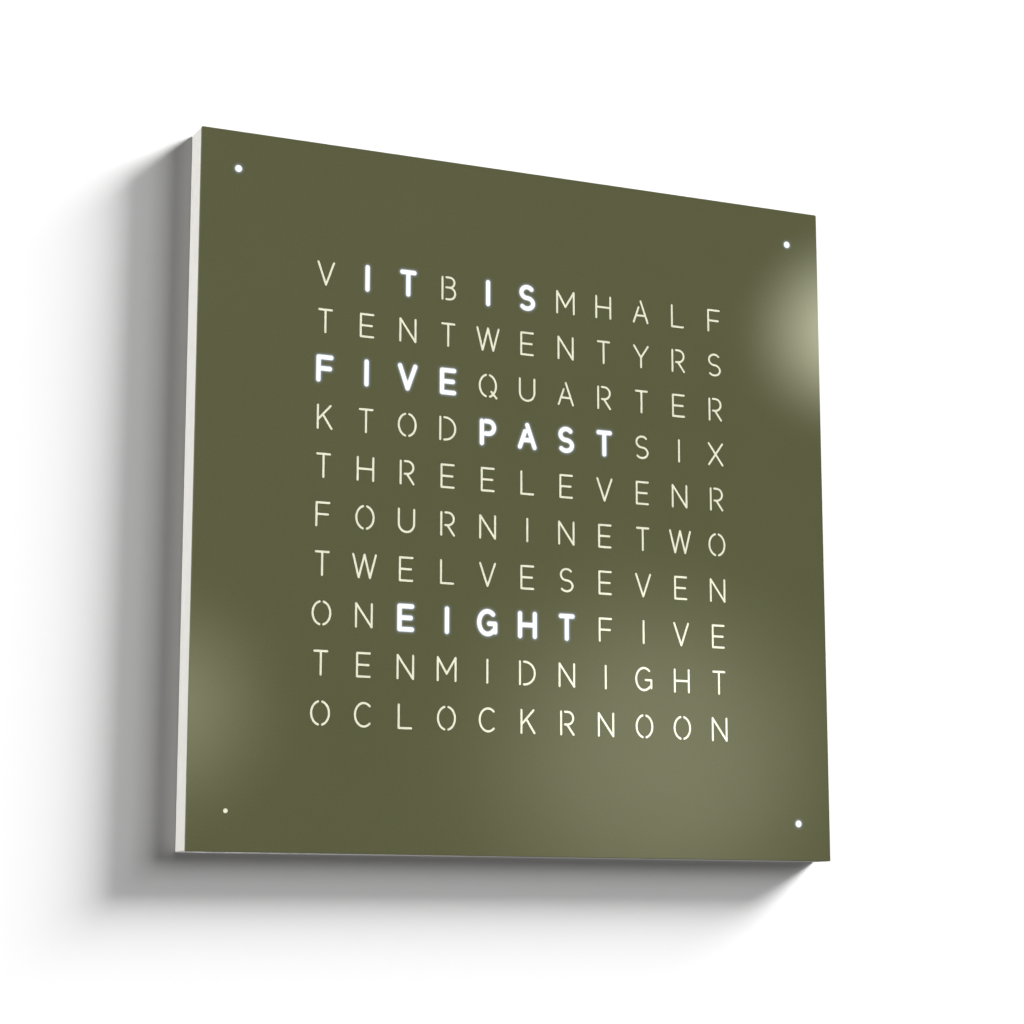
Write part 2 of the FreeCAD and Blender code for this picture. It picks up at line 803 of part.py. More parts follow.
def key_lead():
    """The lead from the key board's end to the socket at the foot of the control board."""
    start_x = key_row_centre + key_board_length / 2
    level_z = key_board_z + board_thickness / 2
    end_x = control_x + power_socket_width / 2 + key_socket_width / 2 + socket_gap
    end_z = control_foot_z - power_socket_length / 2
    route = [(start_x, key_y, level_z), (start_x + key_lead_first_run, key_y, level_z),
             (end_x - key_lead_side_step, power_socket_y, level_z + key_lead_rise),
             (end_x, power_socket_y, end_z - lead_last_run), (end_x, power_socket_y, end_z)]
    return lead([Vector(*p) for p in route], key_lead_radius, "key lead")


def control_board():
    board = slab(control_x - control_width / 2, control_x + control_width / 2,
                 control_board_front_y, control_board_back_y, control_foot_z, control_top_z)
    return board.cut([facet_bar(board_screw_shank + shank_clearance, x, z,
                                control_board_front_y - over, control_board_back_y + over)
                      for x, z in control_post_places])


def control_posts():
    return [post(x, z, control_board_back_y) for x, z in control_post_places]


def control_screws():
    return [board_screw(x, z, control_board_front_y, board_thickness)
            for x, z in control_post_places]


def on_control_board(offset_x, z, width, length, height):
    return block(control_x + offset_x, z, width, length, control_board_front_y - height,
                 control_board_front_y)


def power_socket():
    """The two sockets at the control board's foot, for the supply and for the keys."""
    keys_x = power_socket_width / 2 + key_socket_width / 2 + socket_gap
    supply = on_control_board(0, control_foot_z, power_socket_width, power_socket_length,
                              power_socket_height)
    keys = on_control_board(keys_x, control_foot_z, key_socket_width, power_socket_length,
                            power_socket_height)
    return [supply, keys]


def microcontroller():
    return on_control_board(controller_offset, header_z, controller_size, controller_size,
                            controller_height)


def radio_module():
    return on_control_board(0, radio_z, radio_can_width, radio_can_length, radio_can_height)


def coin_cell():
    y1 = control_board_front_y - cell_holder_base
    return facet_bar(cell_radius, control_x, cell_z, y1 - cell_height, y1, small_round_sides)


def coin_cell_holder():
    """A square tray for the cell with one side open, through which the cell slides out."""
    side = 2 * (cell_radius + cell_holder_wall + clip_clearance)
    base_y = control_board_front_y - cell_holder_base
    front_y = base_y - cell_height
    tray = block(control_x, cell_z, side, side, front_y, control_board_front_y)
    reach = cell_radius + clip_clearance
    pocket = facet_bar(reach, control_x, cell_z, front_y - over, base_y, small_round_sides)
    gate = slab(control_x, control_x + side, front_y - over, base_y,
                cell_z - reach, cell_z + reach)
    return tray.cut(join([pocket, gate]))


def ribbon_headers():
    """The plugs at both ends of the ribbon, on the lamp board and on the control board."""
    return [block(led_header_x, header_z, header_width, header_length, header_top_y,
                  led_board_front_y),
            block(control_header_x, header_z, header_width, header_length, header_top_y,
                  control_board_front_y)]


def ribbon_cable():
    """A flat cable that arches from one header to the other."""
    middle_x = (led_header_x + control_header_x) / 2
    outer = (control_header_x - led_header_x) / 2 + ribbon_thickness / 2
    centre = Vector(middle_x, header_top_y, header_z - ribbon_width / 2)
    arch = Part.makeCylinder(outer, ribbon_width, centre, Vector(0, 0, 1))
    arch = arch.cut(Part.makeCylinder(outer - ribbon_thickness, ribbon_width, centre,
                                      Vector(0, 0, 1)))
    return arch.cut(slab(middle_x - 2 * outer, middle_x + 2 * outer, header_top_y,
                         header_top_y + 2 * outer, header_z - ribbon_width,
                         header_z + ribbon_width))


def antenna_bar(extra, z0, z1):
    """A bar along Z with the ferrite's section, larger by extra on every side."""
    half_x = antenna_width / 2 + extra
    half_y = antenna_thickness / 2 + extra
    return slab(control_x - half_x, control_x + half_x, antenna_y - half_y, antenna_y + half_y,
                z0, z1)


def antenna_rod():
    return antenna_bar(0, antenna_bottom_z, antenna_bottom_z + antenna_length)


def antenna_coil():
    middle = antenna_bottom_z + antenna_length / 2
    outer = antenna_bar(coil_wall, middle - coil_length / 2, middle + coil_length / 2)
    return outer.cut(antenna_rod())


def antenna_clips():
    """Two open cradles on the back panel, in which the ferrite bar lies."""
    width = antenna_width + 2 * (clip_clearance + clip_wall)
    front_y = antenna_y - clip_lap
    clips = []
    for z in (antenna_bottom_z + clip_end_inset,
              antenna_bottom_z + antenna_length - clip_end_inset):
        cradle = block(control_x, z, width, clip_length, front_y, panel_front_y)
        seat_x = antenna_width / 2 + clip_clearance
        seat = slab(control_x - seat_x, control_x + seat_x, front_y - over,
                    antenna_y + antenna_thickness / 2, z - clip_length, z + clip_length)
        clips.append(cradle.cut(seat))
    return clips


def antenna_lead():
    """The twin wire from the coil's foot to the control board's head."""
    coil_foot = antenna_bottom_z + antenna_length / 2 - coil_length / 2
    side_x = control_x - antenna_lead_offset
    high_y = antenna_y - antenna_thickness / 2
    wire_y = control_board_front_y
    landing_z = control_top_z - antenna_lead_landing
    exit_x = control_x - (antenna_width + coil_wall) / 2
    route = [(exit_x, antenna_y, coil_foot),
             (exit_x, antenna_y, coil_foot - antenna_lead_first_run),
             (side_x, antenna_y, coil_foot - antenna_lead_second_bend),
             (side_x, high_y, landing_z + antenna_lead_third_bend),
             (side_x, wire_y - antenna_lead_last_run, landing_z), (side_x, wire_y, landing_z)]
    return lead([Vector(*p) for p in route], antenna_lead_radius, "antenna lead")


nodes = {
    "front_cover": front_cover(),
    "backing_film": backing_film(),
    "cover_locating_studs": cover_studs(),
    "body_frame": body_frame(),
    "cover_magnets": cover_magnets(),
    "diffuser_plate": diffuser_plate(),
    "diffuser_screws": diffuser_screws(),
    "light_grid": light_grid(),
    "grid_screws": grid_screws(),
    "led_board": led_board(),
    "word_leds": word_leds(),
    "light_sensor": light_sensor(),
    "led_board_standoffs": led_standoffs(),
    "minute_boards": minute_boards(),
    "minute_board_posts": minute_posts(),
    "minute_leds": minute_leds(),
    "minute_light_cups": minute_cups(),
    "minute_leads": minute_leads(),
    "back_panel": back_panel(),
    "back_panel_screws": panel_screws(),
    "hanger_plate_left": hanger_plate(hanger_places[0]),
    "hanger_plate_right": hanger_plate(hanger_places[1]),
    "hanger_screws": hanger_screws(),
    "power_inlet_tray": inlet_tray(),
    "power_jack": power_jack(),
    "jack_contact_pin": jack_pin(),
    "jack_nut": jack_nut(),
    "power_lead": power_lead(),
    "key_switches": key_switches(),
    "key_board": key_board(),
    "key_board_posts": key_posts(),
    "key_board_screws": key_board_screws(),
    "key_lead": key_lead(),
    "control_board": control_board(),
    "control_board_posts": control_posts(),
    "control_board_screws": control_screws(),
    "control_board_sockets": power_socket(),
    "microcontroller": microcontroller(),
    "radio_receiver": radio_module(),
    "backup_cell": coin_cell(),
    "backup_cell_holder": coin_cell_holder(),
    "ribbon_headers": ribbon_headers(),
    "ribbon_cable": ribbon_cable(),
    "antenna_rod": antenna_rod(),
    "antenna_coil": antenna_coil(),
    "antenna_clips": antenna_clips(),
    "antenna_lead": antenna_lead(),
}
for number, key_x in enumerate(key_places, start=1):
    nodes[f"key_{number}_cap"] = key_cap(key_x)
    nodes[f"key_{number}_plunger"] = key_plunger(key_x)

os.makedirs("parts", exist_ok=True)
for name, shape in nodes.items():
    solid = Part.makeCompound(shape) if isinstance(shape, list) else shape
    solid.exportStep(os.path.join("parts", name + ".step"))
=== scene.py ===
import math

import bpy
from mathutils import Matrix, Vector
from mathutils.geometry import delaunay_2d_cdt


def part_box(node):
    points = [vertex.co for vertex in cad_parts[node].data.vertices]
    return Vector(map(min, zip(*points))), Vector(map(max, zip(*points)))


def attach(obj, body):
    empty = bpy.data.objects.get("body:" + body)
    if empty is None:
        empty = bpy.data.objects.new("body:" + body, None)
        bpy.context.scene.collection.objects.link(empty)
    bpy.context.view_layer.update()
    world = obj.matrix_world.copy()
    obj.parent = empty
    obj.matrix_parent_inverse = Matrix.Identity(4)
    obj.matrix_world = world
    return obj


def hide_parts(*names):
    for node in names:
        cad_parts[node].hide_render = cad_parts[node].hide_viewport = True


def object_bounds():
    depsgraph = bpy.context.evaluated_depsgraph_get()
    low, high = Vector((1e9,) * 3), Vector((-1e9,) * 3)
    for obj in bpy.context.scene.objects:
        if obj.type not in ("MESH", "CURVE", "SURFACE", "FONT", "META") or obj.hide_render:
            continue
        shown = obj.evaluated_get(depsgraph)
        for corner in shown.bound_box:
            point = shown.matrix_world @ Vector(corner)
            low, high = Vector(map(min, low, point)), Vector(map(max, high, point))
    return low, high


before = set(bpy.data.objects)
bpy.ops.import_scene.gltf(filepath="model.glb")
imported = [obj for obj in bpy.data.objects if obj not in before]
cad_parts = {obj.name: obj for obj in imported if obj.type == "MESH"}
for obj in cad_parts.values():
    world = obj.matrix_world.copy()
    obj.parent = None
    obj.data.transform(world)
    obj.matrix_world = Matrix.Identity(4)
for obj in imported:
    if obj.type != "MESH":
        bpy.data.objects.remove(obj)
cad_low, cad_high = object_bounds()

MM = 0.001

# Metres. As in the CAD frame, the origin is at the middle of the back, on the wall. +X is to the
# right as seen from the front, +Y points into the wall and +Z is up.

# The field of letters, row by row from the top, and the words that are lit: row, first column
# and number of letters
ROWS = [
    "VITBISMHALF",
    "TENTWENTYRS",
    "FIVEQUARTER",
    "KTODPASTSIX",
    "THREELEVENR",
    "FOURNINETWO",
    "TWELVESEVEN",
    "ONEIGHTFIVE",
    "TENMIDNIGHT",
    "OCLOCKRNOON",
]
COLUMN_PITCH = 28.2 * MM
ROW_PITCH = 31.0 * MM
LIT_WORDS = [(0, 1, 2), (0, 4, 2), (2, 0, 4), (3, 4, 4), (7, 2, 5)]

# Letters: height between the strokes' middle lines, half the cut's width, and the resin in the cut
CAP_HEIGHT = 14.6 * MM
STROKE_RADIUS = 0.76 * MM
INLAY_GAP = 0.02 * MM
INLAY_RECESS = 0.18 * MM
INLAY_DEPTH = 1.1 * MM
CAP_SEGMENTS = 6
ARC_STEP_DEGREES = 15.0

# Minute dots, with their corners as signs of X and Z
DOT_INSET = 24.5 * MM
DOT_RADIUS = 1.5 * MM
DOT_SIDES = 28
LIT_DOTS = [(-1, 1), (1, 1), (1, -1)]
UNLIT_DOTS = [(-1, -1)]

# Painted glow of the lit letters: emission on thin patches over the coat round them. The patches
# lie in the plane of the CAD front, and the coat lies this far behind them. A dot's glow starts
# from a very short line.
GLOW_CELL = 0.6 * MM
GLOW_LIFT = 0.05 * MM
GLOW_REACH = 3.4 * MM
GLOW_DOT_LINE = 0.05 * MM
GLOW_STRENGTH = 1.25
GLOW_NEAR = (1.0, 1.0, 1.0)
GLOW_FAR = (0.62, 0.78, 1.0)
GLOW_FADE = [(0.0, 1.0), (0.28, 1.0), (0.38, 0.95), (0.46, 0.30), (0.56, 0.10), (0.76, 0.035),
             (1.0, 0.0)]

# Screws that show. Points of the CAD screws closer than a step are one point. The fit is the share
# of the flat-sided CAD radius that a round screw may fill.
LEVEL_STEP = 0.01 * MM
SCREW_SIDES = 24
SCREW_FIT = 0.92
SOCKET_SHARE = 0.5
SOCKET_DEPTH = 0.8 * MM
HEAD_BEVEL = 0.25 * MM

# Edge and corners of the sheet
EDGE_ROUND = 0.35 * MM
EDGE_STEPS = 4
CORNER_RADIUS = 0.8 * MM
CORNER_STEPS = 6

# Triangulation: its output with every triangle, its tolerance in millimetres, and the distance
# within which two points are one
CDT_ALL_TRIANGLES = 0
CDT_TOLERANCE = 1e-5
SAME_POINT = 1e-7


def new_object(name, vertices, faces, material):
    mesh = bpy.data.meshes.new(name)
    mesh.from_pydata([tuple(v) for v in vertices], [], faces)
    mesh.validate()
    mesh.update()
    piece = bpy.data.objects.new(name, mesh)
    bpy.context.scene.collection.objects.link(piece)
    mesh.materials.append(material)
    return piece


# Materials

# Sockets by number, where names repeat: the colour mix, the shader mix and the noise's value
MIX_FACTOR = 0
MIX_A = 6
MIX_B = 7
MIX_RESULT = 2
SHADER_A = 1
SHADER_B = 2
NOISE_VALUE = 0

# The range that holds most of a noise's values
NOISE_LOW = 0.3
NOISE_HIGH = 0.7

# Clouds are this many times as coarse as the grain
CLOUD_RATIO = 12
CLEAR_COAT_ROUGHNESS = 0.25
SUBSURFACE_DEPTH = 1.5 * MM

# Powder coat: its tint, and how far its grains darken or brighten it
COAT_DARK = (0.106, 0.109, 0.048)
COAT_PALE = (0.110, 0.113, 0.051)
GRAIN_DARK = (0.90, 0.90, 0.90)
GRAIN_PALE = (1.10, 1.10, 1.10)


def new_material(name):
    material = bpy.data.materials.new(name)
    material.use_nodes = True
    material.node_tree.nodes.clear()
    return material, material.node_tree


def add_node(tree, kind, **settings):
    node = tree.nodes.new(kind)
    for key, value in settings.items():
        setattr(node, key, value)
    return node


def link(tree, source, output, target, socket):
    tree.links.new(source.outputs[output], target.inputs[socket])


def principled(name):
    """A material with one shader, and that shader."""
    material, tree = new_material(name)
    shader = add_node(tree, "ShaderNodeBsdfPrincipled")
    out = add_node(tree, "ShaderNodeOutputMaterial")
    link(tree, shader, "BSDF", out, "Surface")
    return material, tree, shader


def object_noise(tree, scale, detail, roughness, stretch=(1, 1, 1)):
    """Noise fixed to the object. A stretch over 1 along an axis makes it finer there."""
    place = add_node(tree, "ShaderNodeTexCoord")
    mapping = add_node(tree, "ShaderNodeMapping")
    mapping.inputs["Scale"].default_value = stretch
    noise = add_node(tree, "ShaderNodeTexNoise")
    noise.inputs["Scale"].default_value = scale
    noise.inputs["Detail"].default_value = detail
    noise.inputs["Roughness"].default_value = roughness
    link(tree, place, "Object", mapping, "Vector")
    link(tree, mapping, "Vector", noise, "Vector")
    return noise


def map_range(tree, source, output, in_low, in_high, out_low, out_high):
    ranged = add_node(tree, "ShaderNodeMapRange")
    ranged.inputs["From Min"].default_value = in_low
    ranged.inputs["From Max"].default_value = in_high
    ranged.inputs["To Min"].default_value = out_low
    ranged.inputs["To Max"].default_value = out_high
    link(tree, source, output, ranged, "Value")
    return ranged


def noise_range(tree, noise, out_low=0.0, out_high=1.0, in_low=NOISE_LOW, in_high=NOISE_HIGH):
    """Maps the middle range of a noise's values to another range."""
    return map_range(tree, noise, NOISE_VALUE, in_low, in_high, out_low, out_high)


def mixed_colour(tree, factor, colour_a, colour_b):
    """Goes from colour_a where a map range node gives 0 to colour_b where it gives 1."""
    mix = add_node(tree, "ShaderNodeMix", data_type="RGBA")
    mix.inputs[MIX_A].default_value = (*colour_a, 1)
    mix.inputs[MIX_B].default_value = (*colour_b, 1)
    link(tree, factor, "Result", mix, MIX_FACTOR)
    return mix


def relief(tree, noise, strength, depth):
    """Bumps that follow a noise."""
    bumps = add_node(tree, "ShaderNodeBump")
    bumps.inputs["Strength"].default_value = strength
    bumps.inputs["Distance"].default_value = depth
    link(tree, noise, NOISE_VALUE, bumps, "Height")
    return bumps


def surface(name, colour, roughness, metallic=0.0, grain=900.0, mottle=0.06, bump=0.15,
            bump_depth=0.03 * MM, roughness_spread=0.06, stretch=(1, 1, 1), coat=0.0,
            specular=0.5, subsurface=0.0):
    """A finish with mottled colour, uneven gloss and a fine grain."""
    material, tree, shader = principled(name)
    shader.inputs["Metallic"].default_value = metallic
    shader.inputs["Specular IOR Level"].default_value = specular
    shader.inputs["Coat Weight"].default_value = coat
    shader.inputs["Coat Roughness"].default_value = CLEAR_COAT_ROUGHNESS
    if subsurface:
        shader.inputs["Subsurface Weight"].default_value = subsurface
        shader.inputs["Subsurface Scale"].default_value = SUBSURFACE_DEPTH
    coarse = object_noise(tree, grain / CLOUD_RATIO, detail=3.0, roughness=0.6, stretch=stretch)
    fine = object_noise(tree, grain, detail=2.0, roughness=0.5, stretch=stretch)
    dark = tuple(c * (1 - mottle) for c in colour)
    pale = tuple(min(1.0, c * (1 + mottle)) for c in colour)
    tint = mixed_colour(tree, noise_range(tree, coarse), dark, pale)
    link(tree, tint, MIX_RESULT, shader, "Base Color")
    gloss = noise_range(tree, fine, roughness - roughness_spread, roughness + roughness_spread)
    link(tree, gloss, "Result", shader, "Roughness")
    link(tree, relief(tree, fine, bump, bump_depth), "Normal", shader, "Normal")
    return material


def powder_coat():
    """Olive powder coat: an orange-peel skin with fine grains that catch the light."""
    material, tree, shader = principled("olive_powder_coat")
    shader.inputs["Specular IOR Level"].default_value = 0.25
    blotch = object_noise(tree, scale=18.0, detail=4.0, roughness=0.6)
    grain = object_noise(tree, scale=1500.0, detail=2.0, roughness=0.6)
    peel = object_noise(tree, scale=420.0, detail=2.0, roughness=0.5)
    tint = mixed_colour(tree, noise_range(tree, blotch), COAT_DARK, COAT_PALE)
    speck = mixed_colour(tree, noise_range(tree, grain, in_low=0.35, in_high=0.65),
                         GRAIN_DARK, GRAIN_PALE)
    tone = add_node(tree, "ShaderNodeMix", data_type="RGBA", blend_type="MULTIPLY")
    tone.inputs[MIX_FACTOR].default_value = 1.0
    link(tree, tint, MIX_RESULT, tone, MIX_A)
    link(tree, speck, MIX_RESULT, tone, MIX_B)
    link(tree, tone, MIX_RESULT, shader, "Base Color")
    gloss = noise_range(tree, grain, out_low=0.44, out_high=0.58)
    link(tree, gloss, "Result", shader, "Roughness")
    skin = relief(tree, peel, strength=0.30, depth=0.05 * MM)
    grit = relief(tree, grain, strength=0.55, depth=0.03 * MM)
    link(tree, skin, "Normal", grit, "Normal")
    link(tree, grit, "Normal", shader, "Normal")
    return material


def lit_resin():
    """A translucent resin with the lamp behind it."""
    material, tree, shader = principled("lit_inlay")
    shader.inputs["Base Color"].default_value = (0.8, 0.8, 0.78, 1)
    shader.inputs["Roughness"].default_value = 0.5
    shader.inputs["Emission Strength"].default_value = 1.6
    cloud = object_noise(tree, scale=400.0, detail=2.0, roughness=0.5)
    tint = mixed_colour(tree, noise_range(tree, cloud), (0.96, 0.96, 0.96), (1.0, 1.0, 1.0))
    link(tree, tint, MIX_RESULT, shader, "Emission Color")
    return material


def fade_ramp(tree, stops):
    """A smooth grey ramp through pairs of place and value."""
    ramp = add_node(tree, "ShaderNodeValToRGB")
    ramp.color_ramp.interpolation = "B_SPLINE"
    elements = ramp.color_ramp.elements
    elements.remove(elements[1])
    for i, (place, value) in enumerate(stops):
        stop = elements[0] if i == 0 else elements.new(place)
        stop.position = place
        stop.color = (value, value, value, 1)
    return ramp


def painted_glow_material():
    """Painted glow round a lit letter: emission on a patch over the coat, solid by the cut, then
    fading.
    """
    material, tree = new_material("painted_letter_glow")
    distance = add_node(tree, "ShaderNodeAttribute", attribute_name="stroke_distance")
    reach = map_range(tree, distance, "Fac", 0.0, GLOW_REACH, 0, 1)
    ramp = fade_ramp(tree, GLOW_FADE)
    link(tree, reach, "Result", ramp, "Fac")
    colour = mixed_colour(tree, reach, GLOW_NEAR, GLOW_FAR)
    lamp = add_node(tree, "ShaderNodeEmission")
    lamp.inputs["Strength"].default_value = GLOW_STRENGTH
    link(tree, colour, MIX_RESULT, lamp, "Color")
    clear = add_node(tree, "ShaderNodeBsdfTransparent")
    mix = add_node(tree, "ShaderNodeMixShader")
    link(tree, ramp, "Color", mix, "Fac")
    link(tree, clear, "BSDF", mix, SHADER_A)
    link(tree, lamp, "Emission", mix, SHADER_B)
    out = add_node(tree, "ShaderNodeOutputMaterial")
    link(tree, mix, "Shader", out, "Surface")
    return material


def hide_from_behind(material):
    """Makes the back of a surface clear."""
    tree = material.node_tree
    out = next(n for n in tree.nodes if n.type == "OUTPUT_MATERIAL")
    shader = out.inputs["Surface"].links[0].from_node
    side = add_node(tree, "ShaderNodeNewGeometry")
    clear = add_node(tree, "ShaderNodeBsdfTransparent")
    mix = add_node(tree, "ShaderNodeMixShader")
    link(tree, side, "Backfacing", mix, "Fac")
    link(tree, shader, "BSDF", mix, SHADER_A)
    link(tree, clear, "BSDF", mix, SHADER_B)
    link(tree, mix, "Shader", out, "Surface")


# Letter shapes, in units of the cap height, middle line at x = 0 and baseline at y = 0

NARROW = 0.29
MEDIUM = 0.36
ROUND = 0.40
WIDE = 0.52
BRIDGE = 0.19


def line(x0, y0, x1, y1):
    return [(x0, y0), (x1, y1)]


def arc(cx, cy, rx, ry, start, end):
    """Points of an arc from start to end, in degrees, anticlockwise when end is larger."""
    steps = max(2, round(abs(end - start) / ARC_STEP_DEGREES))
    angles = [math.radians(start + (end - start) * i / steps) for i in range(steps + 1)]
    return [(cx + rx * math.cos(a), cy + ry * math.sin(a)) for a in angles]


def bowl(left, right, low, high):
    """A bowl that opens to the left: out along the top, round, and back along the bottom."""
    radius = (high - low) / 2
    flat = max(left, right - radius)
    return [(left, high)] + arc(flat, low + radius, right - flat, radius, 90, -90) + [(left, low)]


def stem(x):
    return line(x, 0, x, 1)


def ring(radius):
    """A round letter's ring in two halves, bridged at its top and bottom."""
    gap = math.degrees(BRIDGE / 2 / radius)
    return [arc(0, 0.5, radius, 0.5, 90 + gap, 270 - gap),
            arc(0, 0.5, radius, 0.5, -90 + gap, 90 - gap)]


GLYPHS = {
    "A": [line(MEDIUM, 0, 0, 1), line(-MEDIUM, 0, -0.29 * MEDIUM, 0.71),
          line(-0.68 * MEDIUM, 0.32, 0.68 * MEDIUM, 0.32)],
    "B": [stem(-NARROW), bowl(BRIDGE - NARROW, NARROW, 0.54, 1),
          bowl(BRIDGE - NARROW, 1.12 * NARROW, 0, 0.54)],
    "C": [arc(0.04, 0.5, ROUND, 0.5, 48, 312)],
    "D": [stem(-MEDIUM), bowl(BRIDGE - MEDIUM, MEDIUM, 0, 1)],
    "E": [stem(-NARROW), line(-NARROW, 1, NARROW, 1), line(-NARROW, 0.5, 0.8 * NARROW, 0.5),
          line(-NARROW, 0, NARROW, 0)],
    "F": [stem(-NARROW), line(-NARROW, 1, NARROW, 1), line(-NARROW, 0.5, 0.8 * NARROW, 0.5)],
    "G": [arc(0, 0.5, ROUND, 0.5, 48, 318), line(0.08, 0.46, 0.37, 0.46),
          line(0.37, 0.46, 0.37, 0.1)],
    "H": [stem(-MEDIUM), stem(MEDIUM), line(-MEDIUM, 0.5, MEDIUM, 0.5)],
    "I": [stem(0)],
    "K": [stem(-NARROW), line(-NARROW, 0.36, NARROW, 1), line(-0.04, 0.58, 0.34, 0)],
    "L": [stem(-NARROW), line(-NARROW, 0, NARROW, 0)],
    "M": [stem(-0.42), line(-0.42, 1, 0, 0.3), line(0, 0.3, 0.42, 1), stem(0.42)],
    "N": [stem(-MEDIUM), line(-MEDIUM, 1, MEDIUM, 0), stem(MEDIUM)],
    "O": ring(ROUND),
    "P": [stem(-NARROW), bowl(BRIDGE - NARROW, 1.05 * NARROW, 0.44, 1)],
    "Q": ring(ROUND) + [line(0.17, 0.24, 0.42, -0.04)],
    "R": [stem(-NARROW), bowl(BRIDGE - NARROW, 1.05 * NARROW, 0.44, 1),
          line(0.0, 0.44, 1.1 * NARROW, 0)],
    "S": [arc(0, 0.745, 0.28, 0.255, 38, 270), arc(0, 0.245, 0.30, 0.245, 90, -142)],
    "T": [line(-NARROW, 1, NARROW, 1), stem(0)],
    "U": [[(-MEDIUM, 1)] + arc(0, 0.36, MEDIUM, 0.36, 180, 360) + [(MEDIUM, 1)]],
    "V": [line(-MEDIUM, 1, 0, 0), line(0, 0, MEDIUM, 1)],
    "W": [line(-WIDE, 1, -WIDE / 2, 0), line(-WIDE / 2, 0, 0, 1), line(0, 1, WIDE / 2, 0),
          line(WIDE / 2, 0, WIDE, 1)],
    "X": [line(-MEDIUM, 0, MEDIUM, 1), line(-MEDIUM, 1, MEDIUM, 0)],
    "Y": [line(-MEDIUM, 1, 0, 0.46), line(0, 0.46, MEDIUM, 1), line(0, 0, 0, 0.46)],
}


def letter_centre(row, column):
    return ((column - (len(ROWS[0]) - 1) / 2) * COLUMN_PITCH,
            ((len(ROWS) - 1) / 2 - row) * ROW_PITCH)


def letter_strokes(row, column):
    """Middle lines of a letter's strokes on the front, in metres."""
    x, z = letter_centre(row, column)
    return [[(x + px * CAP_HEIGHT, z + (py - 0.5) * CAP_HEIGHT) for px, py in stroke]
            for stroke in GLYPHS[ROWS[row][column]]]


def is_lit(row, column):
    return any(row == r and first <= column < first + count for r, first, count in LIT_WORDS)


def stroke_outline(points, radius):
    """The outline of a round-ended stroke along points."""
    normals = []
    for (x0, z0), (x1, z1) in zip(points, points[1:]):
        length = math.hypot(x1 - x0, z1 - z0)
        normals.append((-(z1 - z0) / length, (x1 - x0) / length))
    left = []
    right = []
    for i, (x, z) in enumerate(points):
        before = normals[max(0, i - 1)]
        after = normals[min(len(normals) - 1, i)]
        nx = before[0] + after[0]
        nz = before[1] + after[1]
        scale = 2 * radius / (nx * nx + nz * nz)
        left.append((x + nx * scale, z + nz * scale))
        right.append((x - nx * scale, z - nz * scale))
    return right + end_cap(points[-1], normals[-1], radius, -1) + left[::-1] \
        + end_cap(points[0], normals[0], radius, 1)


def end_cap(centre, normal, radius, side):
    """Points of a half round, without its two ends, from one side of a stroke to the other."""
    start = math.atan2(side * normal[1], side * normal[0])
    angles = [start + math.pi * i / CAP_SEGMENTS for i in range(1, CAP_SEGMENTS)]
    return [(centre[0] + radius * math.cos(a), centre[1] + radius * math.sin(a)) for a in angles]


def circle(x, z, radius, sides):
    return [(x + radius * math.cos(2 * math.pi * i / sides),
             z + radius * math.sin(2 * math.pi * i / sides)) for i in range(sides)]


def rounded_square(half_x, half_z, radius):
    points = []
    for quarter, (sx, sz) in enumerate([(1, 1), (-1, 1), (-1, -1), (1, -1)]):
        for i in range(CORNER_STEPS + 1):
            angle = math.radians(90 * (quarter + i / CORNER_STEPS))
            points.append((sx * (half_x - radius) + radius * math.cos(angle),
                           sz * (half_z - radius) + radius * math.sin(angle)))
    return points


def triangulate(border, outlines):
    """Triangles inside border, sorted into those inside any outline and those outside all."""
    points = [Vector(p) / MM for p in border]
    loops = []
    for outline in outlines:
        loops.append(list(range(len(points), len(points) + len(outline))))
        points += [Vector(p) / MM for p in outline]
    edges = [(i, (i + 1) % len(border)) for i in range(len(border))]
    flat, _, triangles, _, _, owners = delaunay_2d_cdt(points, edges, loops, CDT_ALL_TRIANGLES,
                                                       CDT_TOLERANCE)
    inside = [tuple(t) for t, owner in zip(triangles, owners) if owner]
    outside = [tuple(t) for t, owner in zip(triangles, owners) if not owner]
    return [v * MM for v in flat], inside, outside


def boundary(triangles):
    """Edges that belong to one triangle only, in that triangle's direction."""
    directed = {(t[i], t[(i + 1) % 3]) for t in triangles for i in range(3)}
    return [(a, b) for a, b in directed if (b, a) not in directed]


def compact(flat, triangles):
    """The points that triangles use, and the triangles with their new numbers."""
    used = sorted({v for t in triangles for v in t})
    number = {v: i for i, v in enumerate(used)}
    return [flat[v] for v in used], [tuple(number[v] for v in t) for t in triangles]


def prism(flat, triangles, front_y, back_y):
    """Vertices and faces of a closed solid between two planes across the face."""
    flat, triangles = compact(flat, triangles)
    count = len(flat)
    vertices = [(p[0], front_y, p[1]) for p in flat] + [(p[0], back_y, p[1]) for p in flat]
    faces = list(triangles)
    faces += [tuple(count + v for v in reversed(t)) for t in triangles]
    faces += [(b, a, count + a, count + b) for a, b in sorted(boundary(triangles))]
    return vertices, faces


def dot_outlines(places, radius):
    return [circle(sx * dot_x, sz * dot_z, radius, DOT_SIDES) for sx, sz in places]


def outlines_of(cells, radius):
    return [stroke_outline(stroke, radius) for row, column in cells
            for stroke in letter_strokes(row, column)]


def rim_places(flat, border):
    """The points that lie on the border, each with its place along it."""
    rim = {}
    for i, point in enumerate(flat):
        near = min(border, key=lambda p: (p[0] - point[0]) ** 2 + (p[1] - point[1]) ** 2)
        if math.hypot(near[0] - point[0], near[1] - point[1]) < SAME_POINT:
            rim[i] = border.index(near)
    return rim


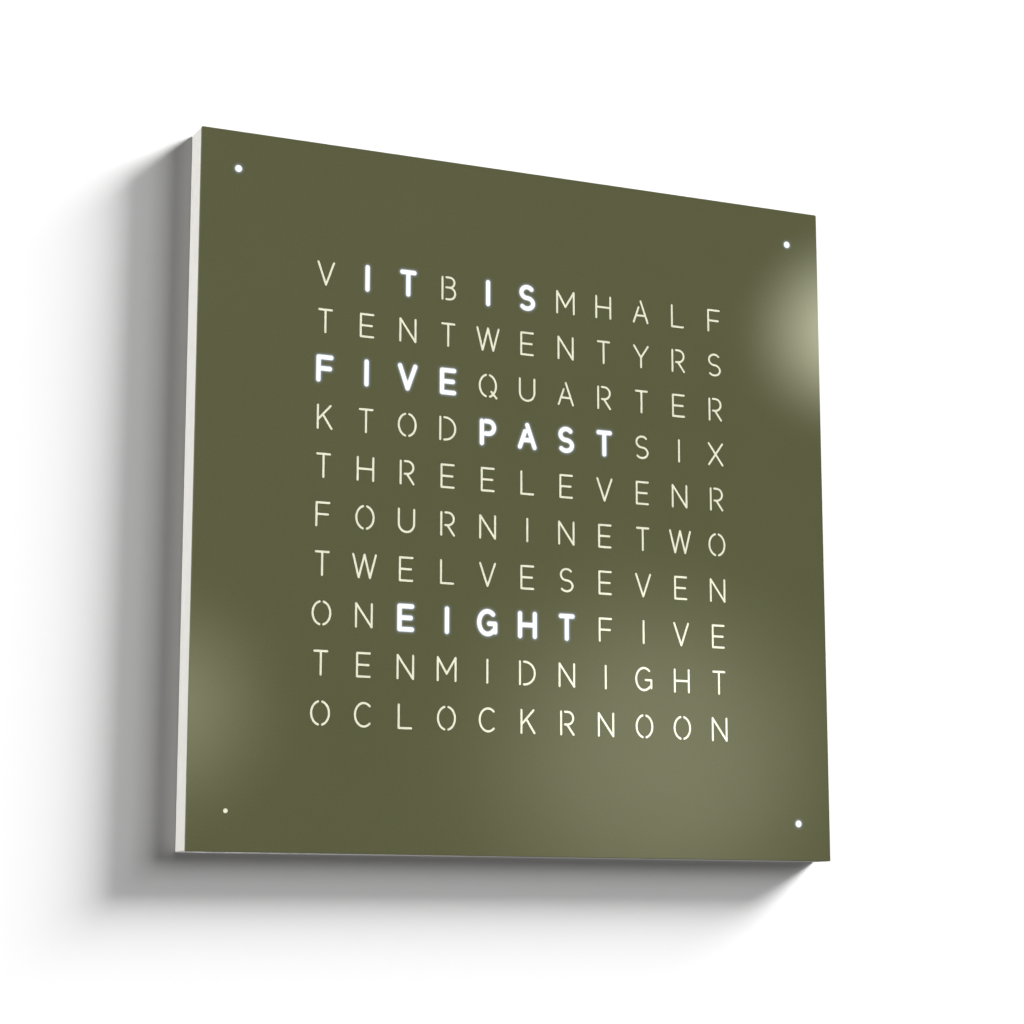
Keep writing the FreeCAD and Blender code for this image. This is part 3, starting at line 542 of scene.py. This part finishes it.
def round_edge(vertices, faces, rim, rim_edges, half_x, half_z, front_y):
    """Adds the rings that round the front edge. Returns the numbers of the last ring's points."""
    last = {a: a for a in rim}
    for step in range(1, EDGE_STEPS + 1):
        turn = math.radians(90 * step / EDGE_STEPS)
        inset = EDGE_ROUND - EDGE_ROUND * math.sin(turn)
        outline = rounded_square(half_x - inset, half_z - inset, CORNER_RADIUS - inset)
        y = front_y + EDGE_ROUND * (1 - math.cos(turn))
        now = {}
        for a, place in rim.items():
            now[a] = len(vertices)
            vertices.append((outline[place][0], y, outline[place][1]))
        faces += [(last[b], last[a], now[a], now[b]) for a, b in rim_edges]
        last = now
    return last


def make_cover():
    """The coated sheet with every letter and dot cut through it and its front edge rounded."""
    cover_low, cover_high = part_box("front_cover")
    half_x = cover_high.x
    half_z = cover_high.z
    front_y = cover_low.y + GLOW_LIFT
    border = rounded_square(half_x - EDGE_ROUND, half_z - EDGE_ROUND, CORNER_RADIUS - EDGE_ROUND)
    cuts = outlines_of(cells, STROKE_RADIUS) + dot_outlines(LIT_DOTS + UNLIT_DOTS, DOT_RADIUS)
    flat, _, sheet = triangulate(border, cuts)
    flat, sheet = compact(flat, sheet)
    count = len(flat)
    rim = rim_places(flat, border)
    outer = rounded_square(half_x, half_z, CORNER_RADIUS)
    vertices = [(p[0], front_y, p[1]) for p in flat]
    for i, point in enumerate(flat):
        place = outer[rim[i]] if i in rim else point
        vertices.append((place[0], cover_high.y, place[1]))
    faces = list(sheet) + [tuple(count + v for v in reversed(t)) for t in sheet]
    edges = sorted(boundary(sheet))
    rim_edges = [(a, b) for a, b in edges if a in rim and b in rim]
    faces += [(b, a, count + a, count + b) for a, b in edges if (a, b) not in rim_edges]
    last = round_edge(vertices, faces, rim, rim_edges, half_x, half_z, front_y)
    faces += [(last[b], last[a], count + a, count + b) for a, b in rim_edges]
    piece = new_object("cover_sheet", vertices, faces, powder_coat())
    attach(piece, "cover")
    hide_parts("front_cover")


def make_inlays(name, letters, dots, material):
    """Translucent resin in the cuts, a little below the coat."""
    cover_low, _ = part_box("front_cover")
    front_y = cover_low.y + GLOW_LIFT + INLAY_RECESS
    outlines = outlines_of(letters, STROKE_RADIUS - INLAY_GAP)
    outlines += dot_outlines(dots, DOT_RADIUS - INLAY_GAP)
    margin = 4 * DOT_RADIUS
    border = rounded_square(dot_x + margin, dot_z + margin, DOT_RADIUS)
    flat, filled, _ = triangulate(border, outlines)
    vertices, faces = prism(flat, filled, front_y, front_y + INLAY_DEPTH)
    piece = new_object(name, vertices, faces, material)
    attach(piece, "cover")


def distance_to_stroke(x, z, stroke):
    best = math.inf
    for (x0, z0), (x1, z1) in zip(stroke, stroke[1:]):
        dx = x1 - x0
        dz = z1 - z0
        along = ((x - x0) * dx + (z - z0) * dz) / (dx * dx + dz * dz)
        along = min(1.0, max(0.0, along))
        best = min(best, math.hypot(x - x0 - along * dx, z - z0 - along * dz))
    return best


def glow_patch(strokes, grow, y, vertices, distances, faces):
    """Adds cells round a group of strokes. Each point keeps its distance from the cut's middle."""
    xs = [p[0] for s in strokes for p in s]
    zs = [p[1] for s in strokes for p in s]
    margin = GLOW_REACH + grow
    across = math.ceil((max(xs) - min(xs) + 2 * margin) / GLOW_CELL)
    up = math.ceil((max(zs) - min(zs) + 2 * margin) / GLOW_CELL)
    start_x = (max(xs) + min(xs) - across * GLOW_CELL) / 2
    start_z = (max(zs) + min(zs) - up * GLOW_CELL) / 2
    near = {}
    for i in range(across + 1):
        for j in range(up + 1):
            x = start_x + i * GLOW_CELL
            z = start_z + j * GLOW_CELL
            near[i, j] = (x, z, min(distance_to_stroke(x, z, s) for s in strokes) - grow)
    number = {}
    for i in range(across):
        for j in range(up):
            cell = [(i, j), (i + 1, j), (i + 1, j + 1), (i, j + 1)]
            if min(near[c][2] for c in cell) > GLOW_REACH:
                continue
            for c in cell:
                if c not in number:
                    number[c] = len(vertices)
                    vertices.append((near[c][0], y, near[c][1]))
                    distances.append(max(0.0, near[c][2]))
            faces.append(tuple(number[c] for c in cell))


def make_painted_glow():
    """Thin patches with the painted glow over the lit letters and dots, in the plane of the CAD
    front.
    """
    cover_low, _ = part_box("front_cover")
    vertices = []
    distances = []
    faces = []
    for row, column in cells:
        if is_lit(row, column):
            glow_patch(letter_strokes(row, column), 0.0, cover_low.y, vertices, distances, faces)
    for sx, sz in LIT_DOTS:
        x = sx * dot_x
        z = sz * dot_z
        middle = [(x - GLOW_DOT_LINE, z), (x + GLOW_DOT_LINE, z)]
        glow_patch([middle], DOT_RADIUS - STROKE_RADIUS, cover_low.y, vertices, distances, faces)
    piece = new_object("painted_letter_glow", vertices, faces, painted_glow_material())
    attribute = piece.data.attributes.new("stroke_distance", "FLOAT", "POINT")
    attribute.data.foreach_set("value", distances)
    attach(piece, "cover")


def solids_of(node):
    """The points of each solid of a CAD node."""
    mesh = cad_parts[node].data
    group = list(range(len(mesh.vertices)))

    def root(v):
        while group[v] != v:
            v = group[v]
        return v

    def join(v, w):
        a, b = sorted((root(v), root(w)))
        group[b] = a

    places = {}
    for vertex in mesh.vertices:
        place = tuple(round(c / LEVEL_STEP) for c in vertex.co)
        join(places.setdefault(place, vertex.index), vertex.index)
    for edge in mesh.edges:
        join(*edge.vertices)
    solids = {}
    for vertex in mesh.vertices:
        solids.setdefault(root(vertex.index), []).append(vertex.co.copy())
    return [solids[key] for key in sorted(solids)]


def profile_of(points):
    """Axis of a solid along Y, and its levels from back to front with the radius at each."""
    low = Vector([min(p[i] for p in points) for i in range(3)])
    high = Vector([max(p[i] for p in points) for i in range(3)])
    centre = (low + high) / 2
    levels = {}
    for p in points:
        key = round(p.y / LEVEL_STEP)
        radius = math.hypot(p.x - centre.x, p.z - centre.z)
        levels[key] = max(levels.get(key, 0.0), radius)
    return centre, [(key * LEVEL_STEP, levels[key]) for key in sorted(levels, reverse=True)]


def hexagon(radius):
    """A socket's outline with as many points as a screw has sides."""
    points = []
    for i in range(SCREW_SIDES):
        angle = 2 * math.pi * i / SCREW_SIDES
        within = (angle + math.pi / 6) % (math.pi / 3) - math.pi / 6
        reach = radius * math.cos(math.pi / 6) / math.cos(within)
        points.append((reach * math.cos(angle), reach * math.sin(angle)))
    return points


def screw_rings(levels, outward):
    """A screw's rings from its socket's floor to its tip, each a level and an outline."""
    head_y, head = levels[0]
    head *= SCREW_FIT
    socket = hexagon(SOCKET_SHARE * head)
    rings = [(head_y - outward * SOCKET_DEPTH, socket),
             (head_y, socket),
             (head_y, circle(0, 0, head - HEAD_BEVEL, SCREW_SIDES)),
             (head_y - outward * HEAD_BEVEL / 2, circle(0, 0, head, SCREW_SIDES))]
    return rings + [(y, circle(0, 0, SCREW_FIT * radius, SCREW_SIDES)) for y, radius in levels[1:]]


def add_rings(vertices, faces, centre, rings, outward):
    """Adds a closed solid of rings. Its first ring points along Y when outward is 1."""
    first = len(vertices)
    for y, outline in rings:
        vertices += [(centre.x + x, y, centre.z + z) for x, z in outline]
    last = len(vertices) - SCREW_SIDES
    for a in range(first, last, SCREW_SIDES):
        b = a + SCREW_SIDES
        for j in range(SCREW_SIDES):
            k = (j + 1) % SCREW_SIDES
            faces.append((a + j, a + k, b + k, b + j)[::outward])
    faces.append(tuple(range(first, first + SCREW_SIDES))[::-outward])
    faces.append(tuple(range(last, last + SCREW_SIDES))[::outward])


def make_screws(node, material):
    """Round screws with a bevelled head and a hexagonal socket, within the CAD screws."""
    vertices = []
    faces = []
    for points in solids_of(node):
        centre, levels = profile_of(points)
        if levels[0][1] < levels[-1][1]:
            levels.reverse()
        outward = 1 if levels[0][0] > levels[-1][0] else -1
        add_rings(vertices, faces, centre, screw_rings(levels, outward), outward)
    piece = new_object(node + "_socketed", vertices, faces, material)
    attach(piece, "clock")
    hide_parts(node)


def dress(material, *names):
    """Gives CAD nodes a material."""
    for name in names:
        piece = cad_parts[name]
        piece.data.materials.clear()
        piece.data.materials.append(material)


def dress_shell():
    """Finishes of the frame, the sheets and the keys."""
    dress(surface("ivory_lacquer", (0.72, 0.70, 0.655), 0.42, grain=700, mottle=0.02, bump=0.12,
                  bump_depth=0.03 * MM, roughness_spread=0.05, coat=0.1), "body_frame")
    dress(surface("cream_film", (0.80, 0.78, 0.62), 0.55, mottle=0.03), "backing_film")
    dress(surface("opal_acrylic", (0.84, 0.84, 0.82), 0.38, mottle=0.02, bump=0.05,
                  subsurface=0.3), "diffuser_plate")
    dress(surface("brushed_anodised_aluminium", (0.50, 0.50, 0.51), 0.38, metallic=1.0,
                  grain=2600, mottle=0.08, bump=0.25, bump_depth=0.02 * MM,
                  roughness_spread=0.08, stretch=(0.02, 1, 1)), "back_panel")
    dress(surface("turned_aluminium", (0.62, 0.62, 0.61), 0.30, metallic=1.0, grain=2400,
                  mottle=0.06, stretch=(1, 1, 0.1)),
          "key_1_cap", "key_2_cap", "key_3_cap", "key_4_cap")


def dress_steel():
    """One finish for the steel fixings, and the screws that are made anew with it."""
    steel = surface("zinc_plated_steel", (0.60, 0.61, 0.62), 0.34, metallic=1.0, grain=1600,
                    mottle=0.10, bump=0.2)
    dress(steel, "cover_locating_studs", "grid_screws", "hanger_plate_left",
          "hanger_plate_right", "key_board_screws", "control_board_screws", "jack_nut")
    for node in ["back_panel_screws", "hanger_screws", "diffuser_screws"]:
        make_screws(node, steel)


def dress_metals():
    """Finishes of the magnets, posts, cans and windings."""
    dress(surface("nickel_plate", (0.66, 0.63, 0.58), 0.20, metallic=1.0, grain=1200, mottle=0.05),
          "cover_magnets")
    dress(surface("turned_brass", (0.62, 0.47, 0.22), 0.28, metallic=1.0, grain=1500),
          "led_board_standoffs", "minute_board_posts", "key_board_posts", "control_board_posts",
          "jack_contact_pin")
    dress(surface("tinned_can", (0.64, 0.64, 0.65), 0.25, metallic=1.0, grain=900),
          "radio_receiver", "backup_cell")
    dress(surface("ferrite", (0.05, 0.05, 0.055), 0.6, grain=1800, mottle=0.2), "antenna_rod")
    dress(surface("copper_winding", (0.62, 0.26, 0.12), 0.32, metallic=0.8, grain=900,
                  bump=0.6, bump_depth=0.1 * MM, stretch=(0.05, 0.05, 3)), "antenna_coil")


def dress_boards():
    """Finishes of the boards and lamps."""
    dress(surface("white_solder_mask", (0.78, 0.79, 0.78), 0.32, mottle=0.03, coat=0.3),
          "led_board", "minute_boards")
    dress(surface("green_solder_mask", (0.02, 0.14, 0.06), 0.30, mottle=0.15, coat=0.4),
          "control_board", "key_board")
    dress(surface("lamp_body", (0.86, 0.84, 0.55), 0.30, mottle=0.06, coat=0.3),
          "word_leds", "minute_leds")


def dress_mouldings():
    """Finishes of the moulded pieces inside."""
    dress(surface("white_moulding", (0.80, 0.80, 0.79), 0.55, mottle=0.03, bump=0.25),
          "light_grid", "minute_light_cups")
    dress(surface("black_moulding", (0.022, 0.022, 0.024), 0.45, grain=2200, mottle=0.12,
                  bump=0.35),
          "light_sensor", "microcontroller", "key_switches", "control_board_sockets",
          "ribbon_headers", "power_jack", "backup_cell_holder", "antenna_clips",
          "power_inlet_tray", "key_1_plunger", "key_2_plunger", "key_3_plunger",
          "key_4_plunger")


def dress_leads():
    """Finishes of the leads and the ribbon."""
    dress(surface("black_sheath", (0.03, 0.03, 0.03), 0.5, mottle=0.1), "power_lead", "key_lead")
    dress(surface("white_insulation", (0.7, 0.7, 0.68), 0.45), "minute_leads", "antenna_lead")
    dress(surface("grey_flat_cable", (0.32, 0.33, 0.34), 0.45, grain=800, stretch=(0.1, 0.1, 4)),
          "ribbon_cable")


# Stage, camera and light. The camera is the photo's: its place and turn, its focal length in
# pixels and the photo's width in pixels.

CAMERA_PLACE = Vector((-659.64, -1411.12, -275.74)) * MM
CAMERA_YAW = math.radians(25.0)
CAMERA_PITCH = math.radians(10.02)
FOCAL_PIXELS = 2411.7
PHOTO_WIDTH = 1024
SENSOR_WIDTH = 36.0

# The wall stands this far behind the back and reaches this far each way
WALL_GAP = 0.3 * MM
WALL_REACH = 6.0

# Light: the world's strength, the angle that the clock's suns fill in degrees, and how far the
# spots stand from the front
WORLD_LEVEL = 0.22
CLOCK_SUN_ANGLE = 40
SPOT_DISTANCE = 1.8


def make_camera():
    data = bpy.data.cameras.new("camera")
    camera = bpy.data.objects.new("camera", data)
    bpy.context.scene.collection.objects.link(camera)
    forward = Vector((math.sin(CAMERA_YAW) * math.cos(CAMERA_PITCH),
                      math.cos(CAMERA_YAW) * math.cos(CAMERA_PITCH), math.sin(CAMERA_PITCH)))
    right = Vector((math.cos(CAMERA_YAW), -math.sin(CAMERA_YAW), 0))
    up = right.cross(forward)
    turn = Matrix((right, up, -forward)).transposed().to_4x4()
    camera.matrix_world = Matrix.Translation(CAMERA_PLACE) @ turn
    data.sensor_width = SENSOR_WIDTH
    data.lens = FOCAL_PIXELS / PHOTO_WIDTH * SENSOR_WIDTH
    bpy.context.scene.camera = camera


def make_wall():
    """The wall that the clock hangs on. It can't be seen from behind, so that the back shows."""
    corners = [(-1, -1), (1, -1), (1, 1), (-1, 1)]
    vertices = [(x * WALL_REACH, WALL_GAP, z * WALL_REACH) for x, z in corners]
    paint = surface("wall_paint", (0.50, 0.50, 0.50), 0.9, mottle=0.004, bump=0.02, specular=0.0)
    hide_from_behind(paint)
    wall = new_object("wall", vertices, [(0, 1, 2, 3)], paint)
    wall.visible_diffuse = False
    wall.visible_glossy = False
    wall.visible_shadow = False
    return wall


def only(lamp, piece, state):
    """Makes a lamp light one piece alone (INCLUDE), or all but that piece (EXCLUDE)."""
    group = bpy.data.collections.new(lamp.name + "_group")
    group.objects.link(piece)
    group.collection_objects[0].light_linking.link_state = state
    lamp.light_linking.receiver_collection = group


def add_lamp(name, kind, place, target, **settings):
    data = bpy.data.lights.new(name, kind)
    for key, value in settings.items():
        setattr(data, key, value)
    lamp = bpy.data.objects.new(name, data)
    lamp.location = place
    lamp.rotation_euler = (Vector(target) - Vector(place)).to_track_quat("-Z", "Y").to_euler()
    bpy.context.scene.collection.objects.link(lamp)
    return lamp


def wall_sun(wall, name, reach_left, reach_down, angle, level):
    """A sun from the upper right that lights the wall alone, to level on a white wall.

    Its shadow of the clock reaches this many times the clock's depth to the left and down.
    """
    towards = Vector((reach_left, -1, reach_down))
    energy = level * math.pi * towards.length
    lamp = add_lamp(name, "SUN", towards, (0, 0, 0), angle=math.radians(angle), energy=energy)
    only(lamp, wall, "INCLUDE")


def clock_sun(wall, name, towards, level):
    """A soft sun that lights the clock and not the wall, to level where it is faced."""
    lamp = add_lamp(name, "SUN", towards, (0, 0, 0), angle=math.radians(CLOCK_SUN_ANGLE),
                    energy=level * math.pi)
    only(lamp, wall, "EXCLUDE")


def clock_spot(wall, name, face_x, face_z, radius, size, level):
    """A soft pool of light on the front, from where the camera sees the lamp's reflection."""
    point = Vector((face_x, cad_low.y, face_z))
    ray = point - CAMERA_PLACE
    ray.y = -ray.y
    place = point + ray.normalized() * SPOT_DISTANCE
    energy = level * 4 * math.pi ** 2 * SPOT_DISTANCE ** 2
    lamp = add_lamp(name, "SPOT", place, point, spot_size=2 * math.atan(radius / SPOT_DISTANCE),
                    spot_blend=1.0, shadow_soft_size=size, energy=energy)
    only(lamp, wall, "EXCLUDE")


def make_light(wall):
    world = bpy.data.worlds.new("world")
    world.use_nodes = True
    background = world.node_tree.nodes["Background"]
    background.inputs["Color"].default_value = (1, 1, 1, 1)
    background.inputs["Strength"].default_value = WORLD_LEVEL
    bpy.context.scene.world = world
    wall_sun(wall, "wall_low_sun", reach_left=3.1, reach_down=2.2, angle=19, level=1.26)
    wall_sun(wall, "wall_middle_sun", reach_left=1.7, reach_down=1.2, angle=20, level=0.16)
    wall_sun(wall, "wall_high_sun", reach_left=0.85, reach_down=0.45, angle=28, level=0.44)
    clock_sun(wall, "upper_left_sun", towards=(-1.4, -1.7, 1.9), level=1.0)
    clock_sun(wall, "left_sun", towards=(-2.4, -0.8, -0.3), level=0.45)
    clock_sun(wall, "back_sun", towards=(0.4, 2.0, 0.5), level=0.50)
    clock_spot(wall, "upper_right_spot", face_x=0.252, face_z=0.145, radius=0.058, size=0.032,
               level=2.5)
    clock_spot(wall, "lower_right_spot", face_x=0.095, face_z=-0.158, radius=0.130, size=0.05,
               level=0.50)
    clock_spot(wall, "lower_left_spot", face_x=-0.243, face_z=-0.139, radius=0.066, size=0.035,
               level=0.66)


dot_x = cad_high.x - DOT_INSET
dot_z = cad_high.z - DOT_INSET
cells = [(row, column) for row in range(len(ROWS)) for column in range(len(ROWS[0]))]

make_camera()
make_light(make_wall())
dress_shell()
dress_steel()
dress_metals()
dress_boards()
dress_mouldings()
dress_leads()
make_cover()
make_inlays("unlit_inlays", [c for c in cells if not is_lit(*c)], UNLIT_DOTS,
            surface("cream_inlay", (0.97, 0.95, 0.74), 0.5, grain=1400, mottle=0.05, bump=0.3))
make_inlays("lit_inlays", [c for c in cells if is_lit(*c)], LIT_DOTS, lit_resin())
make_painted_glow()

bpy.context.scene.view_settings.view_transform = "Standard"
